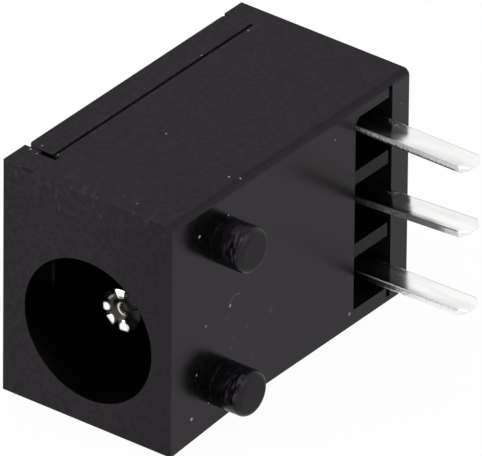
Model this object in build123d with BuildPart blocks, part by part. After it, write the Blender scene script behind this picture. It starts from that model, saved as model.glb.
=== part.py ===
from build123d import *
import os

os.makedirs("parts", exist_ok=True)

# A right-angle power jack for a circuit board, in millimetres.
# z = 0 is the face that sits on the board, and the socket mouth looks along -Y.
# The bore axis runs along Y above x = 0, and y = 0 is the line of the two board pegs.

# Socket and contact pin, lengths measured back from the mouth
bore_d = 6.4            # socket bore, for a 5.5 mm plug
plug_d = 5.5            # plug barrel the socket takes
axis_z = 4.17           # bore axis above the board
pin_d = 2.0             # centre pin
pin_setback = 2.15      # pin nose behind the mouth
pin_nose_round = 0.3    # rounded rim of the pin nose
nose_hole_d = 0.52      # centre hole the pin was turned on
nose_hole_deep = 0.32
rivet_d = 1.3           # tail of the pin, riveted through its strap
rivet_head_d = 1.8
rivet_head_t = 0.35

# Housing
body_len = 15.65
body_high = 8.48
side_x = 6.38           # bore axis to the wide side
near_x_rear = 3.93      # bore axis to the narrow side, at the rear
near_x_front = 4.37     # the same at the mouth: this side flares towards it
flare_len = 5.7         # length of the flared part
wall = 0.68             # side walls and the rims beside the windows
front_wall = 1.24
rear_wall = 1.16
pin_wall = 1.2          # wall across the inside that holds the pin
edge_wide = 0.3         # rounding where the wide side meets the board face
edge_round = 0.06       # rounding of the other outer edges

# Board pegs
peg_d = 1.98
peg_len = 1.5
peg_setback = 3.5       # peg line behind the mouth
peg_x_wide = 4.15       # peg towards the wide side
peg_pitch = 6.68
peg_round = 0.28        # rounded end of the pegs

# Terminal windows in the board face
rib_w = 0.62            # bars between the windows
rib_gap = 0.24          # slit between the bars and the rear wall
slit_deep = 0.8         # depth of that slit in the side walls
slit_margin = 0.22      # wall left outside the slit
window_cut = 0.25       # cut corner of the window by the wide side
seat_z = 2.1            # height of the bar tops the contacts sit on

# Stamped contacts
sheet = 0.3
blade_w = 1.3
blade_len = 4.8         # below the board face
blade_point = 0.3       # length of the bevelled tip
blade_flat = 0.14       # thickness left at the tip
blade_corner = 0.3      # cut corners of the tip
blade_wall_gap = 0.18   # rear edge of the blades to the rear wall
blade_pitch = 3.41
blade_shift = -0.06     # middle blade off the middle of the housing
contact_top = 5.4       # top edge of the contacts
bend_r = 0.2            # inside radius of the folds
strap_over = 1.25       # end of the pin's strap past the pin axis

# Sleeve spring and break contact
spring_reach = 0.15     # how far the bow stands inside the plug surface
spring_bow = 6.5        # bow behind the mouth
spring_tip = 3.0        # free end behind the mouth
spring_bend_r = 0.5
spring_foot_z = 3.2     # lower edge of the leaf
spring_tab = 1.0        # straight end of the leaf
tab_w = 0.5             # tab below it that meets the break contact
finger_top = 3.1        # upper edge of the break contact's finger
finger_x = 3.75         # face of the finger the tab rests on
pocket_floor = 1.8      # floor of the room beside the bore

# Lid
lid_under = 7.0
lid_sink = 0.06         # lid top below the end walls
lid_gap = 0.26          # gap at its front end
lid_lip_z = 7.64        # above this a lip of the front wall closes the gap to a hairline
lid_lip_gap = 0.06
seam_high = 0.15        # groove along its lower edges
seam_deep = 0.35
lid_end_round = 0.35
lid_key_z = 6.7         # underside of the rib that keys the lid in the spring's room
fit = 0.05              # sliding clearance of the ribs under the lid
notch_deep = 0.22       # notch in the side wall under the lid's front end

# Planes and lines the pieces share
mouth = -peg_setback
front_in = mouth + front_wall
rear = mouth + body_len
rear_in = rear - rear_wall
terminal_room = sheet + rivet_head_t + sheet + blade_w + blade_wall_gap
pin_back = rear_in - terminal_room
bore_end = pin_back - pin_wall
bore_r = bore_d / 2
floor_t = axis_z - bore_r
inner_wide = side_x - wall
inner_near = wall - near_x_rear
body_mid = (side_x - near_x_rear) / 2
rib_end = rear_in - rib_gap
blade_rear = rear_in - blade_wall_gap
blade_front = blade_rear - blade_w
blade_x_mid = body_mid + blade_shift
blade_x_wide = blade_x_mid + blade_pitch
blade_x_near = blade_x_mid - blade_pitch
lid_front = front_in + lid_gap
finger_mid = finger_x - sheet / 2
leaf_end_x = finger_x + sheet / 2
bow_x = plug_d / 2 - spring_reach + sheet / 2
lid_top = body_high - lid_sink
past_sides = side_x + near_x_front


def slab(x0, x1, y0, y1, z0, z1, mode=Mode.ADD):
    """A block between six planes, drawn on its lower face and extruded up."""
    with BuildSketch(Plane.XY.offset(z0)) as base:
        with Locations(((x0 + x1) / 2, (y0 + y1) / 2)):
            Rectangle(x1 - x0, y1 - y0)
    extrude(base.sketch, amount=z1 - z0, mode=mode)


def blade(x_mid):
    """A flat terminal: a strip down through the board face with a bevelled tip."""
    with BuildSketch(Plane.XZ.offset(-blade_front)) as outline:
        with BuildLine():
            Polyline(
                (x_mid - sheet / 2, seat_z),
                (x_mid + sheet / 2, seat_z),
                (x_mid + sheet / 2, -blade_len + blade_point),
                (x_mid + blade_flat / 2, -blade_len),
                (x_mid - blade_flat / 2, -blade_len),
                (x_mid - sheet / 2, -blade_len + blade_point),
                close=True,
            )
        make_face()
    extrude(outline.sketch, amount=-blade_w)
    for edge_y, inward in ((blade_front, 1), (blade_rear, -1)):
        with BuildSketch(Plane.YZ.offset(x_mid - sheet / 2)) as corner:
            with BuildLine():
                Polyline(
                    (edge_y, -blade_len),
                    (edge_y + inward * blade_corner, -blade_len),
                    (edge_y, -blade_len + blade_corner),
                    close=True,
                )
            make_face()
        extrude(corner.sketch, amount=sheet, mode=Mode.SUBTRACT)


# The moulded housing: walls, bore, pegs and terminal windows in one piece
with BuildPart() as housing:
    with BuildSketch():
        with BuildLine():
            Polyline(
                (-near_x_front, mouth),
                (side_x, mouth),
                (side_x, rear),
                (-near_x_rear, rear),
                (-near_x_rear, mouth + flare_len),
                close=True,
            )
        make_face()
    extrude(amount=body_high)
    fillet(housing.edges().filter_by(Axis.Y).group_by(Axis.X)[-1].sort_by(Axis.Z)[0], edge_wide)
    fillet(housing.faces().sort_by(Axis.Y)[0].edges(), edge_round)
    fillet(housing.faces().sort_by(Axis.Y)[-1].edges(), edge_round)

    # bore for the plug, and the hole the pin is pressed in
    with BuildSketch(Plane.XZ.offset(-mouth)):
        with Locations((0, axis_z)):
            Circle(bore_r)
    extrude(amount=mouth - bore_end, mode=Mode.SUBTRACT)
    with BuildSketch(Plane.XZ.offset(-bore_end)):
        with Locations((0, axis_z)):
            Circle(pin_d / 2)
    extrude(amount=-pin_wall, mode=Mode.SUBTRACT)

    # room beside the bore for the spring, open under the lid
    slab(0, inner_wide, front_in + wall, bore_end, pocket_floor, body_high, Mode.SUBTRACT)
    # rear room for the terminals, open through the board face
    slab(inner_near, inner_wide, pin_back, rear_in, 0, body_high, Mode.SUBTRACT)
    # seat of the lid, with a notch under its front end
    slab(-past_sides, past_sides, front_in, rear_in, lid_under, lid_lip_z, Mode.SUBTRACT)
    slab(-past_sides, past_sides, lid_front - lid_lip_gap, rear_in, lid_lip_z, body_high,
         Mode.SUBTRACT)
    slab(inner_wide, past_sides, front_in, lid_front, lid_under - notch_deep, lid_under,
         Mode.SUBTRACT)

    # bars between the windows, a slit short of the rear wall
    for rib_x in (body_mid - blade_pitch / 2, body_mid + blade_pitch / 2):
        slab(rib_x - rib_w / 2, rib_x + rib_w / 2, pin_back, rib_end, 0, seat_z)
    slab(slit_margin - near_x_rear, side_x - slit_margin, rib_end, rear_in, 0, slit_deep,
         Mode.SUBTRACT)
    with BuildSketch():
        with BuildLine():
            Polyline(
                (inner_wide, pin_back),
                (inner_wide, pin_back + window_cut),
                (inner_wide - window_cut, pin_back),
                close=True,
            )
        make_face()
    extrude(amount=floor_t)

    # slots in the pin wall that grip the spring and the break contact
    for slot_x in (blade_x_wide, finger_mid):
        slab(slot_x - sheet / 2, slot_x + sheet / 2, bore_end, pin_back, seat_z, body_high,
             Mode.SUBTRACT)

    # board pegs
    with BuildSketch():
        with Locations((peg_x_wide, 0), (peg_x_wide - peg_pitch, 0)):
            Circle(peg_d / 2)
    extrude(amount=-peg_len)
    fillet(housing.edges().filter_by(GeomType.CIRCLE).group_by(Axis.Z)[0], peg_round)
housing.part.label = "housing"

# The lid that closes the open side, with ribs that key it in and hold the contacts down
with BuildPart() as cover:
    with BuildSketch(Plane.YZ.offset(-near_x_rear)):
        with BuildLine():
            Polyline(
                (lid_front, lid_under),
                (rear_in, lid_under),
                (rear_in, lid_top),
                (lid_front, lid_top),
                close=True,
            )
        make_face()
    extrude(amount=side_x + near_x_rear)
    fillet(cover.edges().filter_by(Axis.X).group_by(Axis.Z)[-1], lid_end_round)
    for groove_x in (-near_x_rear, side_x):
        slab(groove_x - seam_deep, groove_x + seam_deep, front_in, rear_in, lid_under,
             lid_under + seam_high, Mode.SUBTRACT)
    slab(plug_d / 2, inner_wide - fit, front_in + wall + fit, bore_end - fit, lid_key_z, lid_under)
    slab(inner_near + fit, inner_wide - fit, blade_front, blade_rear, contact_top, lid_under)
cover.part.label = "cover"

# The turned pin, riveted through its strap behind the pin wall
with BuildPart() as centre_pin:
    with BuildSketch(Plane.XY.offset(axis_z)):
        with BuildLine():
            Polyline(
                (0, mouth + pin_setback),
                (pin_d / 2, mouth + pin_setback),
                (pin_d / 2, pin_back),
                (rivet_d / 2, pin_back),
                (rivet_d / 2, pin_back + sheet),
                (rivet_head_d / 2, pin_back + sheet),
                (rivet_head_d / 2, pin_back + sheet + rivet_head_t),
                (0, pin_back + sheet + rivet_head_t),
                close=True,
            )
        make_face()
    revolve(axis=Axis((0, 0, axis_z), (0, 1, 0)))
    rims = centre_pin.edges().filter_by(GeomType.CIRCLE).sort_by(Axis.Y)
    fillet(rims[0], pin_nose_round)
    rims = centre_pin.edges().filter_by(GeomType.CIRCLE).sort_by(Axis.Y)
    fillet(rims[-1], rivet_head_t / 2)
    with BuildSketch(Plane.XZ.offset(-mouth - pin_setback)):
        with Locations((0, axis_z)):
            Circle(nose_hole_d / 2)
    extrude(amount=-nose_hole_deep, taper=15, mode=Mode.SUBTRACT)
centre_pin.part.label = "centre_pin"

# The pin's strap: a plate behind the pin wall, folded back into a blade
with BuildPart() as pin_terminal:
    with BuildSketch(Plane.XY.offset(seat_z)):
        with BuildLine():
            FilletPolyline(
                (strap_over, pin_back + sheet / 2),
                (blade_x_near, pin_back + sheet / 2),
                (blade_x_near, blade_rear),
                radius=bend_r + sheet / 2,
            )
        trace(line_width=sheet)
    extrude(amount=contact_top - seat_z)
    blade(blade_x_near)
    with BuildSketch(Plane.XZ.offset(-pin_back)):
        with Locations((0, axis_z)):
            Circle(rivet_d / 2)
    extrude(amount=-sheet, mode=Mode.SUBTRACT)
pin_terminal.part.label = "pin_terminal"

# The sleeve spring: a bowed leaf beside the plug, with its blade at the rear
with BuildPart() as sleeve_spring:
    with BuildSketch(Plane.XY.offset(spring_foot_z)):
        with BuildLine():
            FilletPolyline(
                (blade_x_wide, blade_rear),
                (blade_x_wide, bore_end - sheet),
                (bow_x, mouth + spring_bow),
                (leaf_end_x, mouth + spring_tip + spring_tab),
                (leaf_end_x, mouth + spring_tip),
                radius=spring_bend_r,
            )
        trace(line_width=sheet)
    extrude(amount=contact_top - spring_foot_z)
    slab(blade_x_wide - sheet / 2, blade_x_wide + sheet / 2, bore_end, blade_rear, seat_z,
         spring_foot_z)
    slab(finger_x, finger_x + sheet, mouth + spring_tip, mouth + spring_tip + tab_w, seat_z,
         spring_foot_z)
    blade(blade_x_wide)
sleeve_spring.part.label = "sleeve_spring"

# The break contact: a finger the spring rests on when no plug is in
with BuildPart() as switch_contact:
    with BuildSketch(Plane.XY.offset(seat_z)):
        with BuildLine():
            FilletPolyline(
                (blade_x_mid, blade_rear),
                (blade_x_mid, blade_front - sheet / 2),
                (finger_mid, blade_front - sheet / 2),
                (finger_mid, mouth + spring_tip),
                radius=bend_r + sheet / 2,
            )
        trace(line_width=sheet)
    extrude(amount=finger_top - seat_z)
    blade(blade_x_mid)
switch_contact.part.label = "switch_contact"

export_step(housing.part, "parts/housing.step")
export_step(cover.part, "parts/cover.step")
export_step(centre_pin.part, "parts/centre_pin.step")
export_step(pin_terminal.part, "parts/pin_terminal.step")
export_step(sleeve_spring.part, "parts/sleeve_spring.step")
export_step(switch_contact.part, "parts/switch_contact.step")

for piece in (housing, cover, centre_pin, pin_terminal, sleeve_spring, switch_contact):
    box = piece.part.bounding_box()
    print(piece.part.label, "volume", round(piece.part.volume, 2), "solids", len(piece.part.solids()),
          "from", box.min, "to", box.max)
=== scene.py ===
# %% [markdown]
# A power jack for a circuit board, dressed for its portrait
#
# The solids come from CAD and stay where they are: the housing, its lid, the pin and three
# stamped contacts. This lesson gives them their finishes, softens the metal pieces, sets up a
# plain studio round them and puts the camera where the photograph was taken.

# %% Load the solids
from math import atan2, cos, hypot, pi, radians, sin
import bmesh
import bpy
from mathutils import Matrix, Vector


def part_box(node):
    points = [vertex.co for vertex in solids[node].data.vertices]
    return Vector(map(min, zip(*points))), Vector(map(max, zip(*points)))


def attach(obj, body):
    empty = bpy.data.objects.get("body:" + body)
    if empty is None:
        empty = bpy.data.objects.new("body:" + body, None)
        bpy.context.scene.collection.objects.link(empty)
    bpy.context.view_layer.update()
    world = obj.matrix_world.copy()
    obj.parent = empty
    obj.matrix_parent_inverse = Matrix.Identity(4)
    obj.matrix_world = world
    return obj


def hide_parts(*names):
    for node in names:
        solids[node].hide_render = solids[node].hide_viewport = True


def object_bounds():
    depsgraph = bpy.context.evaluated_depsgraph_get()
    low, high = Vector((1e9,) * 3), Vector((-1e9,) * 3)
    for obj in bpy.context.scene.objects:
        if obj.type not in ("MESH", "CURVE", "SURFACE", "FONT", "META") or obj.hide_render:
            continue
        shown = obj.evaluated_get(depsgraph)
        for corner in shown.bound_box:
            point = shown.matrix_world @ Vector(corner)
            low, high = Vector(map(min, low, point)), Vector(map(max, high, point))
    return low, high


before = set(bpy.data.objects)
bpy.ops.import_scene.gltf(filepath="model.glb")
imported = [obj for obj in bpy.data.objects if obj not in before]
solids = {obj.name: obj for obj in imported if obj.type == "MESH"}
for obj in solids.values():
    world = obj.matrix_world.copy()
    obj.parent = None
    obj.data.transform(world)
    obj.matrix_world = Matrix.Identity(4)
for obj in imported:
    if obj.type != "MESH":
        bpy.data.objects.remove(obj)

to_mm = 1000
cad_box = [list(corner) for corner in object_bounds()]
print("solids:", sorted(solids))
print("CAD box in mm:", [[round(v * to_mm, 2) for v in corner] for corner in cad_box])

# %% [markdown]
# Sums on a shader
#
# A finish is a small calculation made with nodes. Clicking nodes together by hand is fine for
# one material, but sums are easier to read as sums. So one class wraps a node's output, and
# the usual operators on it add Math nodes. Every other kind of node comes from its one method.

# %% A wire that can be added and multiplied
class Wire:
    """An output socket; sums on it become Math nodes in the same tree."""

    def __init__(self, tree, socket=None):
        self.tree, self.socket = tree, socket

    def node(self, kind, settings=None, sockets=None, outlet=0):
        """Adds a node: its settings first, then the values or wires of its sockets."""
        made = self.tree.nodes.new("ShaderNode" + kind)
        for name, value in (settings or {}).items():
            setattr(made, name, value)
        for name, value in (sockets or {}).items():
            port = made.inputs[name]
            if isinstance(value, Wire):
                self.tree.links.new(value.socket, port)
            else:
                port.default_value = value
        return Wire(self.tree, made.outputs[outlet] if made.outputs else None)

    def maths(self, operation, first, second):
        return self.node("Math", {"operation": operation}, {0: first, 1: second})

    def __add__(self, other):
        return self.maths("ADD", self, other)

    def __sub__(self, other):
        return self.maths("SUBTRACT", self, other)

    def __rsub__(self, other):
        return self.maths("SUBTRACT", other, self)

    def __mul__(self, other):
        return self.maths("MULTIPLY", self, other)

    def __gt__(self, other):
        return self.maths("GREATER_THAN", self, other)

    def __abs__(self):
        return self.maths("ABSOLUTE", self, 0.0)

    __radd__, __rmul__ = __add__, __mul__


def new_finish(name):
    """An empty material, and a bare wire to start its nodes from."""
    finish = bpy.data.materials.new(name)
    finish.use_nodes = True
    finish.node_tree.nodes.clear()
    return finish, Wire(finish.node_tree)


def close_finish(start, surface):
    start.node("OutputMaterial", sockets={"Surface": surface})


print("wire class ready")

# %% [markdown]
# Patterns measured in millimetres
#
# Real marks have real sizes: a speck of dust is a tenth of a millimetre, a mould's grain is
# finer. So every pattern starts from the place on the part, scaled to millimetres, and the
# helpers here name what a finish is made of: clouds, specks, a band between two planes, a
# smooth change from one number to another.

# %% Helpers for places and directions
def in_millimetres(start):
    place = start.node("TexCoord", outlet="Object")
    return start.node("Mapping", sockets={"Vector": place, "Scale": (to_mm, to_mm, to_mm)})


def looking(start):
    """The direction that a surface looks in."""
    return start.node("TexCoord", outlet="Normal")


def along(vector, axis):
    return vector.node("SeparateXYZ", sockets={0: vector}, outlet=axis)


def x_y_z(vector):
    return [along(vector, axis) for axis in "XYZ"]


print("places are in millimetres,", to_mm, "to the metre")


# %% Helpers for patterns and blends
def noise(place, per_mm, detail=2.0, stretch=(1, 1, 1)):
    """A cloudy pattern, with this many lumps to the millimetre."""
    pulled = place.node("Mapping", sockets={"Vector": place, "Scale": stretch})
    return place.node("TexNoise", sockets={"Vector": pulled, "Scale": per_mm, "Detail": detail},
                      outlet="Fac")


def larger(first, second):
    return first.maths("MAXIMUM", first, second)


def depth_in_spots(place, spots):
    """How far inside the nearest spot a place lies, for spots given as a point and a radius."""
    depth = None
    for point, radius in spots:
        inside = radius - place.node("VectorMath", {"operation": "DISTANCE"},
                                     {0: place, 1: point}, outlet="Value")
        depth = inside if depth is None else larger(depth, inside)
    return depth


def fade(value, low, high, to_low=0.0, to_high=1.0):
    """Runs smoothly from one number to another while the value goes from low to high."""
    return value.node("MapRange", {"interpolation_type": "SMOOTHSTEP"},
                      {"Value": value, "From Min": low, "From Max": high,
                       "To Min": to_low, "To Max": to_high})


def fade_out(value, low, high):
    """1 below low and 0 above high."""
    return fade(value, low, high, 1.0, 0.0)


def between(value, low, high, soft=0.02):
    """1 from low to high and 0 outside, with soft ends."""
    return fade(value, low - soft, low + soft) * fade_out(value, high - soft, high + soft)


def blend_numbers(amount, first, second):
    return first + (second - first) * amount


def blend_colours(amount, first, second):
    return amount.node("Mix", {"data_type": "RGBA"}, {0: amount, 6: first, 7: second}, outlet=2)


print("pattern helpers ready")

# %% [markdown]
# Black plastic
#
# The housing and its lid are moulded in a black plastic. The tool has a fine matte texture on
# the outer sides, and smooth steel where something has to slide or seat: in the bore, in the
# terminal windows, round the pegs and on the face that sits on the board. Much of what looks
# grey is gloss that mirrors the bright room. The rest is painted light and shade, matched to the
# photograph: each kind of place has a black of its own, darker or lighter as the light fell on
# it, and the bore is painted darker. The smooth places mirror sharply, so the pegs show twice in
# the board face, and in the bore there is only darkness to mirror.

# %% Landmarks on the part, in millimetres
housing_low, housing_high = (corner * to_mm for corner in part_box("housing"))
lid_low, lid_high = (corner * to_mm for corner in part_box("cover"))
pin_low, pin_high = (corner * to_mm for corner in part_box("centre_pin"))
strap_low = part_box("pin_terminal")[0] * to_mm
mouth_y, peg_end_z = housing_low.y, housing_low.z
bore_mid = (pin_low + pin_high) / 2
# Sizes of the solids that their boxes don't give
bore_radius, side_wall, lid_under = 3.2, 0.68, 7.0
window_x = (lid_low.x + side_wall, housing_high.x - side_wall)
window_y = (strap_low.y, lid_high.y)
print("mouth at y", round(mouth_y, 2), "windows from y", [round(v, 2) for v in window_y])

# %% [markdown]
# Places as numbers
#
# A finish that differs from place to place needs a number for each kind of place: 1 on it, 0
# off it, and a soft step between. The planes and radii of the solid give these numbers. A face
# counts as reaching a few hundredths of a millimetre into the part.

# %% Where the tool was smooth
skin = (0.01, 0.05)


def in_bore(place):
    x, y, z = x_y_z(place)
    flat = place.node("CombineXYZ", sockets={"X": x, "Z": z})
    off_axis = place.node("VectorMath", {"operation": "DISTANCE"},
                          {0: flat, 1: (bore_mid.x, 0, bore_mid.z)}, outlet="Value")
    return fade_out(off_axis, bore_radius, bore_radius + 0.03) * between(
        y, mouth_y + 0.05, strap_low.y, 0.03)


def in_windows(place):
    x, y, z = x_y_z(place)
    return between(x, *window_x, 0.04) * between(y, *window_y, 0.04) * fade(z, *skin)


def on_bars(place):
    """1 on the lower faces of the bars between the windows, which are matte."""
    x, y, z = x_y_z(place)
    return between(x, *window_x) * between(y, *window_y) * between(z, -0.1, 0.05, 0.04)


def on_peg_ends(place):
    return fade_out(along(place, "Z"), peg_end_z + 0.02, peg_end_z + 0.1)


def smooth_in_housing(place):
    """1 on the board face but not its bars, round the pegs but not on their ends, in the bore
    and in the windows."""
    seat = fade_out(along(place, "Z"), *skin) * (1 - on_peg_ends(place))
    return larger(seat * (1 - on_bars(place)), larger(in_bore(place), in_windows(place)))


def smooth_under_lid(place):
    """1 on the lid's underside and on the lower part of its front end, seen through the bore."""
    y, z = along(place, "Y"), along(place, "Z")
    underside = fade_out(z, lid_under + skin[0], lid_under + skin[1])
    front_end = fade_out(y, lid_low.y + 0.01, lid_low.y + 0.03) * fade_out(
        z, lid_high.z - 0.5, lid_high.z - 0.4)
    return larger(underside, front_end)


print("smooth: bore of radius", bore_radius, "windows, pegs and board face")


# %% Other places on the plastic
painted_gleam_x = (0.55, 1.5)


def painted_lid_highlight(place):
    """1 on a short stretch of the lid's lower front edge in the bore, where a highlight is painted.
    """
    x, y, z = x_y_z(place)
    return between(x, *painted_gleam_x, 0.1) * between(y, lid_low.y - 0.03, lid_low.y + 0.05) * between(
        z, lid_under, lid_under + 0.16, 0.05)


def on_rear_strip(place, facing):
    """1 on the board face behind the windows."""
    return fade(along(place, "Y"), window_y[1] - 0.02, window_y[1] + 0.02) * fade_out(
        along(facing, "Z"), -0.9, -0.7)


def mouth_side_shade(place, facing):
    """Painted shade on the mouth side, growing darker towards the board."""
    return fade_out(along(facing, "Y"), -0.95, -0.7) * fade(along(place, "Z"), 0.0, 5.0, 0.35, 0.0)


def peg_skin(place, facing):
    """1 round the pegs, 0 on their ends and over most of the rounded rims."""
    return fade_out(along(place, "Z"), -0.06, -0.02) * fade(along(facing, "Z"), -0.6, -0.2)


def rounded_edges(place, facing):
    """1 where one flat side turns to the next, less from the wide side to the board face."""
    x, y, z = x_y_z(facing)
    steepest = larger(abs(x), larger(abs(y), abs(z)))
    to_board = fade_out(z, -0.4, -0.1) * fade(x, 0.1, 0.4) * fade(along(place, "Z"), -0.2, -0.1)
    return fade_out(steepest, 0.95, 0.999) * (1 - to_board * 0.7)


def handled_places(place):
    """1 along the edge between the mouth and the wide side, less along the lid's seam."""
    x, y, z = x_y_z(place)
    corner = fade_out(y, mouth_y, mouth_y + 1.2) * fade(x, housing_high.x - 1.5, housing_high.x)
    seam = between(z, lid_under - 0.15, lid_under + 0.35, 0.1) * fade(
        x, housing_high.x - 0.1, housing_high.x)
    return larger(corner, seam * 0.7)


print("wear starts at the corner x", round(housing_high.x, 2), "y", round(mouth_y, 2))

# %% [markdown]
# Dust and wear
#
# Dust, a hair and small rubbed marks make the plastic look real, and the photograph shows where
# the larger ones lie. Each is a round spot with a place and a radius. Noise pushes the places
# about, so that the spots get uneven outlines. Rubbed marks are drawn out along X. A row of dark
# spots by the lid's seam is the painted shade of a dent. Rounded edges are a little paler, partly
# from wear and partly as painted light that lifts their shade.

# %% Dust and marks placed one by one, in millimetres
bright_specks = [
    ((-3.3, 8.3, 0), 0.08), ((0.7, -1.2, 0), 0.06), ((-3.2, -2.1, 0), 0.09),
    ((-3.0, -1.0, 0), 0.06), ((5.1, -1.7, 0), 0.08), ((-1.3, -1.8, 0), 0.06),
    ((5.2, 0.2, 0), 0.06), ((5.4, 7.2, 0), 0.05), ((5.0, 11.6, 0), 0.05),
    ((6.38, 1.0, 0.6), 0.06), ((6.36, 1.2, 0.2), 0.05), ((6.38, -2.9, 2.2), 0.04),
    ((6.38, 10.5, 6.9), 0.06), ((6.38, 7.8, 7.2), 0.05), ((6.3, -1.9, 8.0), 0.06),
    ((6.38, -1.7, 7.9), 0.05), ((6.38, -2.3, 7.7), 0.05), ((6.38, -2.2, 8.1), 0.07),
    ((6.38, -1.85, 7.0), 0.05), ((6.38, 2.1, 4.6), 0.05),
]
hair = [
    ((0.91, 0.36, 0), 0.085), ((1.06, 0.37, 0), 0.03), ((1.13, 0.42, 0), 0.028),
    ((1.18, 0.47, 0), 0.026), ((1.22, 0.54, 0), 0.026), ((1.25, 0.62, 0), 0.026),
    ((1.26, 0.71, 0), 0.026), ((1.25, 0.78, 0), 0.026), ((1.24, 0.85, 0), 0.026),
    ((1.20, 0.95, 0), 0.03),
]
faint_smudges = [
    ((-0.57, 3.05, 0), 0.16), ((0.40, 0.13, 0), 0.10), ((-0.60, 1.48, 0), 0.12),
    ((-1.08, 0.41, 0), 0.10), ((-0.69, 0.57, 0), 0.09), ((-2.3, 1.9, 0), 0.09),
]
rub_stretch = (0.4, 1, 1)
rub_marks = [
    ((6.36, -3.48, 5.03), 0.08), ((6.36, -3.48, 4.40), 0.07), ((6.36, -3.48, 3.77), 0.08),
    ((6.36, -3.48, 1.93), 0.07), ((6.38, -2.71, 2.99), 0.07), ((5.21, -3.5, 5.65), 0.07),
    ((5.57, -3.5, 3.55), 0.07), ((5.9, -3.5, 6.6), 0.06), ((6.38, -3.3, 7.9), 0.07),
    ((6.38, -2.9, 7.0), 0.06),
]
# Painted shade of a dent: dark spots in a row at the corner by the lid's seam.
dent_shade_spots = [((6.37, -3.49, z / 20), 0.12) for z in range(141, 151, 2)]
print(len(bright_specks + hair + faint_smudges + rub_marks + dent_shade_spots), "spots placed by hand")

# %% How the marks lie on the plastic
speck_tone = (0.34, 0.33, 0.32, 1)
smudge_tone = (0.03, 0.029, 0.03, 1)
rubbed_tone = (0.07, 0.068, 0.07, 1)
# Rounded edges: partly wear, partly painted light that lifts their shade.
edge_wear_and_light_tone = (0.0172, 0.0178, 0.0172, 1)
# Painted shade of a dent.
dent_shade_tone = (0.004, 0.005, 0.004, 1)
scratch_share, rub_share, smudge_share, hair_share = 0.2, 0.4, 0.6, 0.75


def ragged(place, per_mm, reach):
    """The place, pushed about a little, so that round spots get uneven outlines."""
    push = place.node("TexNoise", sockets={"Vector": place, "Scale": per_mm}, outlet="Color")
    centred = place.node("VectorMath", {"operation": "SUBTRACT"}, {0: push, 1: (0.5, 0.5, 0.5)})
    scaled = place.node("VectorMath", {"operation": "SCALE"}, {0: centred, "Scale": reach})
    return place.node("VectorMath", {"operation": "ADD"}, {0: place, 1: scaled})


def rubbed_places(place, uneven):
    """Fine scratches where the part is handled, and the rubbed marks drawn out along X."""
    scratches = handled_places(place) * fade(noise(place, 4.0, 5.0, (0.5, 0.4, 1)), 0.54, 0.7)
    pulled = uneven.node("Mapping", sockets={"Vector": uneven, "Scale": rub_stretch})
    pulled_marks = [([value * pull for value, pull in zip(point, rub_stretch)], radius)
                    for point, radius in rub_marks]
    marks = fade(depth_in_spots(pulled, pulled_marks), 0.0, 0.06)
    return larger(scratches * scratch_share, marks * rub_share)


def with_marks(body, place, facing):
    """A colour of plastic with rounded edges paler from wear and painted light, rubbed marks, the
    painted shade of a dent, smudges, specks and a hair on it.
    """
    uneven = ragged(place, 9.0, 0.12)
    dent_shaded = fade(depth_in_spots(uneven, dent_shade_spots), -0.04, 0.06)
    smudged = fade(depth_in_spots(uneven, faint_smudges), -0.02, 0.05)
    speckled = fade(depth_in_spots(uneven, bright_specks), 0.0, 0.03)
    haired = fade(depth_in_spots(place, hair), 0.0, 0.02)
    # Rounded edges are paler: partly wear, partly painted light.
    body = blend_colours(rounded_edges(place, facing) * (1 - in_bore(place)), body, edge_wear_and_light_tone)
    body = blend_colours(rubbed_places(place, uneven), body, rubbed_tone)
    # Painted shade of a dent by the lid's seam.
    body = blend_colours(dent_shaded, body, dent_shade_tone)
    body = blend_colours(smudged * smudge_share, body, smudge_tone)
    return blend_colours(larger(speckled, haired * hair_share), body, speck_tone)


print("dust as pale as", speck_tone[:3])

# %% [markdown]
# The plastic itself
#
# Three surfaces are mixed by those places: a matte one, a smooth one, and the skin of the pegs,
# which has fine streaks round them, with a painted highlight on the streaks near the end. All are
# nearly black, with slow clouds, a mottle of a fifth of a millimetre and a fine grain in the bump.
# The gloss has a cool tint. It is the same all over, so it is set on the shader's own socket.

# %% Tones of the plastic
cool_gloss = (1.0, 0.77, 1.0, 1)
matte_tones = (0.0113, 0.0108, 0.0116, 1), (0.0173, 0.0168, 0.0176, 1)
# Painted shade: the wide side's black is darker.
wide_side_shade_tones = (0.0030, 0.0022, 0.0031, 1), (0.0082, 0.0068, 0.0083, 1)
# Painted shade on the mouth side near the board.
mouth_shade_tone = (0.003, 0.0027, 0.0031, 1)
# Painted shade: the peg ends and the bars get darker blacks.
peg_end_shade_tone = (0.0088, 0.0082, 0.0092, 1)
bar_shade_tone = (0.0072, 0.0066, 0.0073, 1)
smooth_tones = (0.0015, 0.0014, 0.0015, 1), (0.0045, 0.0043, 0.0045, 1)
# Painted light: the rear strip is lighter.
rear_strip_light_tones = (0.0085, 0.0085, 0.0095, 1), (0.017, 0.017, 0.018, 1)
# Painted shade: the bore is darker.
bore_shade_tone = (0.0015, 0.0012, 0.0015, 1)
# Painted highlight on the lid's lower front edge.
painted_gleam_tone = (0.014, 0.013, 0.014, 1)
peg_tone = (0.0035, 0.003, 0.0038, 1)
root_dust_tone = (0.024, 0.023, 0.024, 1)
# Painted highlight on the peg streaks.
streak_highlight_tone = (0.065, 0.062, 0.067, 1)
print("darkest plastic", bore_shade_tone[:3], "and palest", streak_highlight_tone[:3])


# %% Three surfaces of black
grain_height, streak_height = 0.00002, 0.00003


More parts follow.
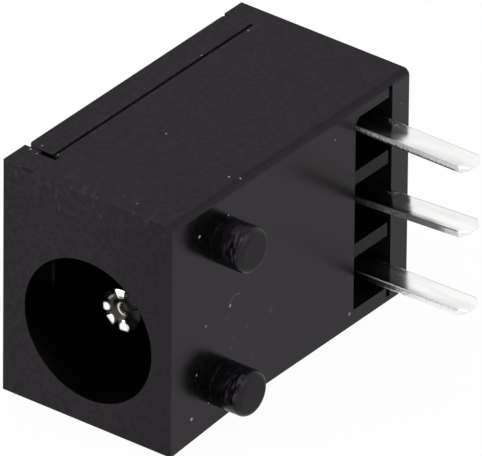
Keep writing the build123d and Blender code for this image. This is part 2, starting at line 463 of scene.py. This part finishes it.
def matte_black(place, facing, clouds, shade, bump):
    body = blend_colours(shade, *matte_tones)
    # Painted shade: the wide side is darker.
    wide_side = fade(along(facing, "X"), 0.7, 0.95)
    body = blend_colours(wide_side, body, blend_colours(shade, *wide_side_shade_tones))
    # Painted shade: the mouth side darkens towards the board.
    body = blend_colours(mouth_side_shade(place, facing), body, mouth_shade_tone)
    # Painted shade: the peg ends and the bars are darker.
    body = blend_colours(on_peg_ends(place), body, peg_end_shade_tone)
    body = blend_colours(on_bars(place), body, bar_shade_tone)
    return place.node("BsdfPrincipled", sockets={
        "Base Color": with_marks(body, place, facing),
        "Roughness": fade(clouds, 0.3, 0.7, 0.48, 0.52),
        "Specular IOR Level": 0.12, "Specular Tint": cool_gloss, "Normal": bump})


def smooth_black(place, facing, clouds, shade, bump):
    # Painted light: the rear strip is lighter, more so towards the wide side.
    strip = blend_colours(fade(along(place, "X"), -3.0, 6.0), *rear_strip_light_tones)
    body = blend_colours(shade, *smooth_tones)
    body = blend_colours(on_rear_strip(place, facing), body, strip)
    # Painted shade: the bore is darker.
    body = blend_colours(in_bore(place), body, bore_shade_tone)
    # Painted highlight on the lid's front edge in the bore.
    body = blend_colours(painted_lid_highlight(place), body, painted_gleam_tone)
    return place.node("BsdfPrincipled", sockets={
        "Base Color": with_marks(body, place, facing),
        "Roughness": fade(clouds, 0.3, 0.7, 0.17, 0.22) * (1 + in_bore(place) * 0.6),
        "Specular IOR Level": 0.15, "Specular Tint": cool_gloss, "Normal": bump})


def peg_black(place, facing, mottle):
    """The skin of the pegs: dust at the root, and a painted highlight on fine streaks near the end,
    on the side towards the mouth and the wide side.
    """
    z = along(place, "Z")
    streaks = noise(place, 9.0, 5.0, (0.3, 0.3, 1))
    root_dust = between(z, -0.08, -0.02, 0.02) * fade(mottle, 0.5, 0.65)
    body = blend_colours(root_dust, peg_tone, root_dust_tone)
    near_end = fade_out(z, peg_end_z + 0.2, peg_end_z + 1.2)
    to_front_and_wide = along(facing, "X") * 0.6 - along(facing, "Y") * 0.8
    # Painted highlight: streaks near the end are lighter on the side towards the mouth and the wide
    # side.
    painted_streak_highlight = fade(streaks, 0.46, 0.64) * near_end * fade(to_front_and_wide, 0.55, 0.98)
    bump = place.node("Bump", sockets={"Strength": 0.25, "Distance": streak_height,
                                       "Height": streaks})
    return place.node("BsdfPrincipled", sockets={
        "Base Color": blend_colours(painted_streak_highlight, body, streak_highlight_tone),
        "Roughness": fade(streaks, 0.35, 0.65, 0.2, 0.42),
        "Specular IOR Level": 0.14, "Specular Tint": cool_gloss, "Normal": bump})


print("grain", grain_height * to_mm, "mm and streaks", streak_height * to_mm, "mm high")


# %% Dress the housing and the lid
def black_plastic(name, smooth_places, lumps):
    """The moulded black; lumps says how strongly its mottle shows."""
    finish, start = new_finish(name)
    place, facing = in_millimetres(start), looking(start)
    clouds = noise(place, 0.45, 3.0)
    mottle = noise(place, 4.5, 4.0)
    shade = fade(clouds * 0.4 + (mottle - 0.5) * lumps, -0.1, 0.5)
    bump = start.node("Bump", sockets={"Strength": 0.2, "Distance": grain_height,
                                       "Height": noise(place, 13.0, 2.0)})
    sides = start.node("MixShader", sockets={
        0: smooth_places(place), 1: matte_black(place, facing, clouds, shade, bump),
        2: smooth_black(place, facing, clouds, shade, bump)})
    close_finish(start, start.node("MixShader", sockets={
        0: peg_skin(place, facing), 1: sides, 2: peg_black(place, facing, mottle)}))
    return finish


def dress(node, finish):
    slots = solids[node].data.materials
    slots.clear()
    slots.append(finish)
    print(node, "wears", finish.name)


dress("housing", black_plastic("housing_plastic", smooth_in_housing, 2.0))
dress("cover", black_plastic("cover_plastic", smooth_under_lid, 4.0))

# %% [markdown]
# Stamped contacts
#
# The three terminals are cut from thin sheet in a press, folded, and dipped in tin. A press
# never leaves a knife edge, and a blade that has been in a bag with others is seldom straight.
# CAD has them sharp and straight. So each gets a copy of its CAD mesh with its blade's edges
# bevelled and the blade turned a little above the board, all by operators, and the copy is shown
# in its place while the CAD solid is hidden. The short arcs of the folds stay out of the bevel,
# because they would clamp it away.

# %% Put a new piece in the place of a solid
def new_piece(name, shape, finish, node):
    """Makes an object of a bmesh, dresses it, puts it under the root body and hides a CAD node."""
    mesh = bpy.data.meshes.new(name)
    shape.to_mesh(mesh)
    shape.free()
    mesh.materials.append(finish)
    piece = bpy.data.objects.new(name, mesh)
    bpy.context.scene.collection.objects.link(piece)
    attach(piece, "root")
    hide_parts(node)
    print(name, "has", len(mesh.polygons), "faces and wears", finish.name)


print("metal to replace:", sorted(set(solids) - {"housing", "cover"}))

# %% Softened copies that lean
sharp, nearly_flat = radians(40), radians(1)
merge_distance = 1e-7
edge_soft = 0.07 / to_mm
fold_levels = (2.2 / to_mm, 1.6 / to_mm)
fold_middle = sum(fold_levels) / len(fold_levels)
blade_root_y = 9.0 / to_mm
shortest_edge = 1e-6


def soften_blade(shape):
    """Bevels the sharp edges that reach below the board, and clears what the bevel left."""
    corners = [edge for edge in shape.edges if edge.calc_face_angle(0) > sharp
               and min(vertex.co.z for vertex in edge.verts) < 0]
    rounded = bmesh.ops.bevel(shape, geom=corners, offset=edge_soft, offset_type="OFFSET",
                              affect="EDGES", segments=3, profile=0.5, material=-1,
                              clamp_overlap=True)
    for face in rounded["faces"]:
        face.smooth = True
    bmesh.ops.dissolve_degenerate(shape, dist=shortest_edge, edges=shape.edges)
    bmesh.ops.remove_doubles(shape, verts=shape.verts, dist=shortest_edge)


def lean_blade(shape, middle, lean):
    """Turns the blade towards +X by an angle in radians, in equal steps at the fold levels."""
    for level in fold_levels:
        everything = shape.verts[:] + shape.edges[:] + shape.faces[:]
        bmesh.ops.bisect_plane(shape, geom=everything, plane_co=(0, 0, level), plane_no=(0, 0, 1))
        below = [vertex for vertex in shape.verts
                 if vertex.co.z < level - merge_distance and vertex.co.y > blade_root_y]
        bmesh.ops.rotate(shape, cent=(middle, 0, level), verts=below,
                         matrix=Matrix.Rotation(-lean / len(fold_levels), 3, "Y"))


def stamped_copy(node, lean):
    """A contact with a soft, leaning blade; also the blade's middle in x and its front and rear
    in y, in millimetres."""
    shape = bmesh.new()
    shape.from_mesh(solids[node].data)
    bmesh.ops.remove_doubles(shape, verts=shape.verts, dist=merge_distance)
    bmesh.ops.dissolve_limit(shape, angle_limit=nearly_flat, verts=shape.verts, edges=shape.edges)
    soften_blade(shape)
    blade = [vertex.co.copy() for vertex in shape.verts if vertex.co.z < 0]
    sides = sorted(place.x for place in blade)
    ends = sorted(place.y for place in blade)
    middle = (sides[0] + sides[-1]) / 2
    lean_blade(shape, middle, lean)
    return shape, (middle * to_mm, ends[0] * to_mm, ends[-1] * to_mm)


print("blades turn at", [level * to_mm for level in fold_levels], "mm above the board")

# %% [markdown]
# Tin plate
#
# Tin is bright on the rolled faces, with faint streaks along the sheet and a duller margin, which
# is a painted reflection. The sheared edges are another matter: where the press cuts, the edge
# starts smooth and ends torn, and it is grainy. Its pale side, its dark side and its rim where it
# turns to the face are painted reflections. Which is which comes from the direction a surface
# looks in, and the two sides of an edge from its distance to the middle of the sheet. Each blade
# has its own painted reflection tones, which change from the tip up.

# %% How each contact looks
# Per contact: the finish's slot, the lean, painted reflection tones of the margin, the edge and the
# rim, the edge's roughness, and where across the sheet the painted dark reflection begins.
contacts = {
    "sleeve_spring": {
        "slot": "spring_tin", "lean": -0.006, "margin": (0.7, [(-2.0, 0.4, 0.85)]),
        "edge": (1.0, [(0.6, 0.6, 0.4)]), "rim": 0.5, "edge_rough": 0.65, "torn_dark_reflection": 0.3},
    "switch_contact": {
        "slot": "switch_tin", "lean": 0.058, "margin": (0.75, [(-3.4, 0.4, 0.3)]),
        "edge": (1.0, [(-3.7, 0.3, 0.3), (-0.6, 0.4, 0.12)]), "rim": 0.2, "edge_rough": 0.65,
        "torn_dark_reflection": 0.0},
    "pin_terminal": {
        "slot": "pin_strap_tin", "lean": 0.016, "margin": (0.76, [(-2.6, 0.6, 0.5)]),
        "edge": (1.0, [(-1.4, 0.5, 0.3), (0.5, 0.6, 0.06)]), "rim": 1.0, "edge_rough": 0.28,
        "torn_dark_reflection": -0.5},
}


def tone_upwards(z, tip_tone, steps):
    """A number that changes with height: each step has a level, a softness and the number above."""
    tone = tip_tone
    for level, soft, tone_above in steps:
        tone = blend_numbers(fade(z, level - soft, level + soft), tone, tone_above)
    return tone


for node, look in contacts.items():
    print(node, "leans", look["lean"], "radians")

# %% Colours of the rolled face and the cut edge
sheet_half = 0.15
above_tip = (-4.5, -4.3)
tin_tones = (0.84, 0.84, 0.83, 1), (0.95, 0.95, 0.94, 1)
rear_margin_reflection_tone = (0.68, 0.67, 0.68, 1)
margin_reflection_range = (0.0, 0.0, 0.0, 1), (1, 1, 1, 1)
edge_reflection_range = (0.02, 0.019, 0.02, 1), (0.97, 0.96, 0.97, 1)
edge_dark_reflection_tone = (0.03, 0.028, 0.029, 1)
# Painted dark reflection on the rim near the body.
inner_rim_reflection_tone = (0.05, 0.048, 0.048, 1)


def rolled_face(place, rolled, front, rear, look):
    """Streaky tin, with a duller margin along the front edge and another along the rear one, both
    painted reflections.
    """
    y, z = along(place, "Y"), along(place, "Z")
    face = blend_colours(fade(rolled, 0.3, 0.7), *tin_tones)
    # Painted reflection: a duller margin along the front edge.
    margin = fade_out(y + (rolled - 0.5) * 0.2, front, front + 0.4) * fade(z, *above_tip)
    face = blend_colours(margin, face,
                         blend_colours(tone_upwards(z, *look["margin"]), *margin_reflection_range))
    # Painted reflection: a grey margin along the rear edge.
    return blend_colours(fade(y, rear - 0.16, rear - 0.06), face, rear_margin_reflection_tone)


def cut_edge(place, grains, rim, middle, look):
    """Grainy, with a pale painted reflection, a dark painted reflection over a share of the
    thickness, and the rim in its own painted tone.
    """
    x, z = along(place, "X"), along(place, "Z")
    grainy = blend_numbers(fade(z, -2.6, -1.6), fade(grains, 0.3, 0.7, 0.85, 1.15),
                           fade(grains, 0.3, 0.7, 0.45, 1.3))
    # Painted reflection: the edge is pale at the tip and darker up the blade.
    edge = blend_colours(tone_upwards(z, *look["edge"]) * grainy, *edge_reflection_range)
    blade_mid = middle + look["lean"] * (fold_middle * to_mm - z)
    across = (x - blade_mid) * (0.5 / sheet_half) + 0.5
    # Painted dark reflection over one share of the sheet's thickness.
    torn_dark_reflection = fade_out(across + (grains - 0.5) * 0.4, look["torn_dark_reflection"] - 0.2, look["torn_dark_reflection"] + 0.2)
    edge = blend_colours(torn_dark_reflection * fade(z, -4.4, -4.2), edge, edge_dark_reflection_tone)
    # Painted reflection: the rim has its own tone per blade, and is dark near the body.
    rim_reflection_tone = (look["rim"], look["rim"], look["rim"], 1)
    return blend_colours(rim, edge, blend_colours(fade(z, -1.8, 0.7), rim_reflection_tone, inner_rim_reflection_tone))


print("rolled tin from", tin_tones[0][:3], "to", tin_tones[1][:3])

# %% Stamp and plate the contacts
rim_rough, sparkle_rough = 0.75, 0.5


def tin_plate(blade, look):
    finish, start = new_finish(look["slot"])
    middle, front, rear = blade
    place, facing = in_millimetres(start), looking(start)
    y, z = along(place, "Y"), along(place, "Z")
    rolled = noise(place, 2.2, 4.0, (1, 1, 0.15))
    grains = noise(place, 8.0, 3.0)
    on_edge = fade(abs(along(facing, "Y")), 0.3, 0.8)
    rim = fade(along(facing, "X"), 0.1, 0.4) * fade(z, *above_tip)
    sparkles = between(z, -0.8, 0.1, 0.4) * fade(y, rear - 0.7, rear - 0.1) * fade(grains, 0.5, 0.75)
    face_rough = blend_numbers(sparkles, fade(rolled, 0.3, 0.7, 0.10, 0.2), sparkle_rough)
    edge_rough = blend_numbers(rim, look["edge_rough"], rim_rough)
    colour = blend_colours(on_edge, rolled_face(place, rolled, front, rear, look),
                           cut_edge(place, grains, rim, middle, look))
    bump = start.node("Bump", sockets={"Strength": 0.25, "Distance": streak_height,
                                       "Height": blend_numbers(on_edge, rolled, grains)})
    close_finish(start, start.node("BsdfPrincipled", sockets={
        "Base Color": colour, "Metallic": 1.0,
        "Roughness": blend_numbers(on_edge, face_rough, edge_rough), "Normal": bump}))
    return finish


for node, look in contacts.items():
    shape, blade = stamped_copy(node, look["lean"])
    new_piece(node + "_stamped", shape, tin_plate(blade, look), node)

# %% [markdown]
# The turned pin
#
# The pin is turned on a lathe, so it is a profile spun round an axis. Its nose has a crest with
# a rounded rim, a shallow dish inside that and a centre hole. Eight notches part the crest into
# lobes: after the spin, the points that lie in a notch are moved back a little. The pin leans
# towards the narrow side. The nickel on it is tarnished brownish on the nose; its shine is
# painted, as highlights on a few lobes and round the hole, with a near-black painted reflection
# and grey painted shade round them.

# %% Sizes of the pin, in millimetres
hole_radius, hole_deep = 0.24, 0.14
floor_radius, floor_deep, slope_steps = 0.30, 0.20, 6
crest_radius, crest_deep, rim_round = 0.54, 0.04, 0.12
tail_radius, head_radius, strap_thick, head_thick = 0.65, 0.9, 0.3, 0.35
hole_taper, head_straight, head_crown = 0.7, 0.6, 0.8
nose_aside, nose_reach = -0.09, 0.2
notches, notch_turn, notch_deep, notch_half = 8, radians(5), 0.1, radians(5)
spin_steps, rim_steps = 96, 6
pin_radius = (pin_high.x - pin_low.x) / 2
nose_y, tail_y = pin_low.y, strap_low.y
print("pin of radius", round(pin_radius, 2), "from y", round(nose_y, 2), "to", round(tail_y, 2))


# %% Spin the pin
def pin_profile(shape):
    """Half the pin's section, drawn from the hole in the nose to the riveted head."""
    def point(radius, y):
        return shape.verts.new(Vector((bore_mid.x + radius, y, bore_mid.z)) / to_mm)

    rim_start = pin_radius - rim_round
    rim_middle = Vector((bore_mid.x + rim_start, nose_y + rim_round, bore_mid.z)) / to_mm
    bmesh.ops.spin(shape, geom=[point(rim_start, nose_y)], steps=rim_steps, cent=rim_middle,
                   axis=(0, 0, 1), angle=pi / 2)
    rim = sorted(shape.verts, key=lambda vertex: vertex.co.x)
    hole = [point(0, nose_y + floor_deep + hole_deep),
            point(hole_radius * hole_taper, nose_y + floor_deep + hole_deep),
            point(hole_radius, nose_y + floor_deep)]
    slope = [point(floor_radius + (crest_radius - floor_radius) * step / slope_steps,
                   nose_y + crest_deep
                   + (floor_deep - crest_deep) * (1 + cos(pi * step / slope_steps)) / 2)
             for step in range(slope_steps + 1)]
    tail = [point(pin_radius, tail_y), point(tail_radius, tail_y),
            point(tail_radius, tail_y + strap_thick), point(head_radius, tail_y + strap_thick),
            point(head_radius, tail_y + strap_thick + head_thick * head_straight),
            point(head_radius * head_crown, tail_y + strap_thick + head_thick),
            point(0, tail_y + strap_thick + head_thick)]
    chain = hole + slope + rim + tail
    for first, second in zip(chain, chain[1:]):
        if not shape.edges.get((first, second)):
            shape.edges.new((first, second))


def in_notch(place):
    """Whether a point of the nose lies in one of the notches that part its crest into lobes."""
    out, above = place.x - bore_mid.x, place.z - bore_mid.z
    turns = (atan2(above, out) - notch_turn) / (2 * pi)
    from_notch = abs(turns * notches % 1 - 0.5) / notches * 2 * pi
    on_crest = hypot(out, above) > crest_radius + 0.01 and place.y < nose_y + nose_reach
    return on_crest and from_notch < notch_half


def turned_pin():
    shape = bmesh.new()
    pin_profile(shape)
    bmesh.ops.spin(shape, geom=shape.verts[:] + shape.edges[:], steps=spin_steps, use_merge=True,
                   cent=bore_mid / to_mm, axis=(0, 1, 0), angle=2 * pi)
    bmesh.ops.remove_doubles(shape, verts=shape.verts, dist=merge_distance)
    bmesh.ops.recalc_face_normals(shape, faces=shape.faces)
    notched = [vertex for vertex in shape.verts if in_notch(vertex.co * to_mm)]
    bmesh.ops.translate(shape, verts=notched, vec=(0, notch_deep / to_mm, 0))
    for face in shape.faces:
        face.smooth = True
    for edge in shape.edges:
        edge.smooth = edge.calc_face_angle(0) < sharp
    root = Vector((bore_mid.x, tail_y, bore_mid.z)) / to_mm
    bmesh.ops.rotate(shape, verts=shape.verts, cent=root,
                     matrix=Matrix.Rotation(nose_aside / (tail_y - nose_y), 3, "Z"))
    return shape


pin_shape = turned_pin()
print("pin of", len(pin_shape.faces), "faces")

# %% Where highlights are painted on the nickel
# Painted highlights: angle from +X, radius and size of each.
painted_lobe_highlights = ((4, 0.80, 0.28), (94, 0.75, 0.19), (133, 0.86, 0.30), (190, 0.75, 0.24),
                (190, 0.56, 0.12))
# Painted highlight tone.
painted_highlight_tone = (0.97, 0.96, 0.94, 1)
# Painted dark reflection and painted shade tones; the tarnish below is the nickel's own.
pin_dark_reflection_tone = (0.005, 0.0045, 0.005, 1)
pin_shade_tone = (0.026, 0.025, 0.027, 1)
tarnish_tone = (0.055, 0.048, 0.04, 1)


def painted_pin_highlights(flat, y, aside, above, from_axis, turning):
    """1 where highlights are painted: on the lobes, given by angle from +X, radius and size, on a
    faint glint and on the hole's rim.
    """
    spots = [((radius * cos(radians(turn)), 0, radius * sin(radians(turn))), size)
             for turn, radius, size in painted_lobe_highlights]
    # Painted highlights: the lobes, a faint glint and the rim of the hole.
    lobes = fade(depth_in_spots(flat, spots) + (turning - 0.5) * 0.1, -0.02, 0.06)
    glint = between(from_axis, 0.64, 0.74, 0.03) * fade(above, 0.3, 0.45) * fade(aside, 0.25, 0.4)
    on_crest = fade_out(y, nose_y + 0.08, nose_y + 0.12)
    hole_rim = between(from_axis, 0.20, 0.31, 0.03) * fade(above - aside * 0.4, -0.05, 0.25)
    on_nose = fade_out(y, nose_y + 0.6, nose_y + 1.0)
    return larger(larger(lobes, glint * 0.3) * on_crest, hole_rim * on_nose * 0.8)


print(len(painted_lobe_highlights), "bright spots on the crest")


# %% Plate the pin
def nickel_with_painted_light(name):
    """Nickel on brass, with painted highlights, a near-black painted reflection and grey painted
    shade, and brownish tarnish on the nose.
    """
    finish, start = new_finish(name)
    place = in_millimetres(start)
    x, y, z = x_y_z(place)
    aside, above = x - (bore_mid.x + nose_aside), z - bore_mid.z
    flat = place.node("CombineXYZ", sockets={"X": aside, "Z": above})
    from_axis = flat.node("VectorMath", {"operation": "LENGTH"}, {0: flat}, outlet="Value")
    turning = noise(place, 5.0, 2.0, (1, 0.2, 1))
    painted_highlight_places = painted_pin_highlights(flat, y, aside, above, from_axis, turning)
    # Painted shade: grey on one side of the nose. Elsewhere the nickel is a near-black painted
    # reflection, with real brownish tarnish.
    pin_shaded_side = fade_out(above, -0.35, -0.1) * fade(aside, -0.3, 0.1)
    tarnished = fade_out(from_axis, 0.62, 0.76) * fade(above, -0.25, 0.05)
    pin_reflection_and_tarnish = blend_colours(pin_shaded_side, pin_dark_reflection_tone, pin_shade_tone)
    pin_reflection_and_tarnish = blend_colours(tarnished, pin_reflection_and_tarnish, tarnish_tone)
    bump = start.node("Bump", sockets={"Strength": 0.2, "Distance": streak_height,
                                       "Height": turning * (1 - painted_highlight_places)})
    close_finish(start, start.node("BsdfPrincipled", sockets={
        "Base Color": blend_colours(painted_highlight_places, pin_reflection_and_tarnish, painted_highlight_tone), "Metallic": 1.0,
        "Roughness": blend_numbers(painted_highlight_places, fade(turning, 0.3, 0.7, 0.28, 0.42), 0.12),
        "Normal": bump}))
    return finish


new_piece("centre_pin_turned", pin_shape, nickel_with_painted_light("pin_plating"), "centre_pin")

# %% [markdown]
# The studio
#
# The jack lies on its narrow side on white paper. The paper is seen as pure white, but it is
# the camera and the reflections that see it so: Light Path keeps that white from lighting the
# part. The paper is one-sided, so other cameras can look from underneath, and it keeps a faint
# contact shadow.

# %% White paper under the part, in metres
paper_half, paper_gap = 0.4, 0.00002
paper_place = Vector((cad_box[0][0] - paper_gap, 0.006, 0.004))
sheet_of_paper = bmesh.new()
bmesh.ops.create_grid(sheet_of_paper, x_segments=1, y_segments=1, size=paper_half,
                      matrix=Matrix.Translation(paper_place) @ Matrix.Rotation(pi / 2, 4, "Y"))
floor = bpy.data.objects.new("floor", bpy.data.meshes.new("floor"))
sheet_of_paper.to_mesh(floor.data)
sheet_of_paper.free()
bpy.context.scene.collection.objects.link(floor)
print("paper at x", round(paper_place.x * to_mm, 2), "mm")


# %% The look of the paper
def seen_by_eye(start):
    """1 for rays from the camera and from reflections, 0 for light that falls on the part."""
    rays = [start.node("LightPath", outlet=name) for name in
            ("Is Camera Ray", "Is Glossy Ray", "Is Transmission Ray")]
    return sum(rays[1:], rays[0]) > 0.5


white = (1, 1, 1, 1)
white_share = 0.96
paper, start = new_finish("floor_paper")
matt = start.node("BsdfDiffuse", sockets={"Color": (0.9, 0.9, 0.9, 1)})
glow = start.node("Emission", sockets={"Color": white, "Strength": 1.0})
lit = start.node("MixShader", sockets={0: seen_by_eye(start) * white_share, 1: matt, 2: glow})
clear = start.node("BsdfTransparent")
from_behind = start.node("NewGeometry", outlet="Backfacing")
let_through = from_behind + start.node("LightPath", outlet="Is Shadow Ray") > 0.5
close_finish(start, start.node("MixShader", sockets={0: let_through, 1: lit, 2: clear}))
floor.data.materials.append(paper)
print("floor wears", paper.name)

# %% [markdown]
# Light
#
# A pale room gives most of the light, and two softboxes give it a direction. Each lamp's power
# comes from the share of plain light it should add: at a share of 1 a colour facing it would
# render as written.

# %% The room
room_share = 0.6
room = bpy.data.worlds.new("room")
bpy.context.scene.world = room
room.use_nodes = True
room.node_tree.nodes.clear()
start = Wire(room.node_tree)
strength = fade(seen_by_eye(start), 0.0, 1.0, room_share, 1.0)
air = start.node("Background", sockets={"Color": white, "Strength": strength})
start.node("OutputWorld", sockets={"Surface": air})
print("room adds", room_share, "of plain light")

# %% Two softboxes
part_middle = (Vector(cad_box[0]) + Vector(cad_box[1])) / 2
lamp_distance = 0.6


def softbox(name, direction, size, share):
    lamp = bpy.data.lights.new(name, "AREA")
    lamp.size = size
    lamp.energy = share * (pi * lamp_distance) ** 2
    direction = Vector(direction).normalized()
    holder = bpy.data.objects.new(name, lamp)
    holder.matrix_world = (Matrix.Translation(part_middle + direction * lamp_distance)
                           @ direction.to_track_quat("Z", "Y").to_matrix().to_4x4())
    bpy.context.scene.collection.objects.link(holder)
    print(name, "adds", share, "of plain light")


softbox("key_softbox", (0.45, -0.68, 0.58), 0.35, 0.35)
softbox("fill_softbox", (0.75, -0.1, -0.65), 0.45, 0.25)

# %% [markdown]
# The camera
#
# The photograph looks at the mouth, the wide side and the board face together, from far off:
# parallel edges stay almost parallel in it. So the camera stands about 0.8 metres away with a
# very long lens. Its axes were fitted to the edges of the housing and the ellipse of the mouth.

# %% The photograph's camera
right = Vector((0.008521, 0.607653, -0.794157))
up = Vector((0.854544, 0.408018, 0.321366))
back = Vector((0.519309, -0.681381, -0.515789))
eye = Vector((419.8025, -544.2652, -412.7744)) / to_mm
lens = bpy.data.cameras.new("portrait")
lens.sensor_width, lens.lens = 36.0, 1503.8
lens.clip_start = 0.01
camera = bpy.data.objects.new("portrait", lens)
camera.matrix_world = Matrix.Translation(eye) @ Matrix((right, up, back)).transposed().to_4x4()
bpy.context.scene.collection.objects.link(camera)
bpy.context.scene.camera = camera
bpy.context.scene.view_settings.view_transform = "Standard"
print("camera", round(eye.length, 3), "m from the board face")
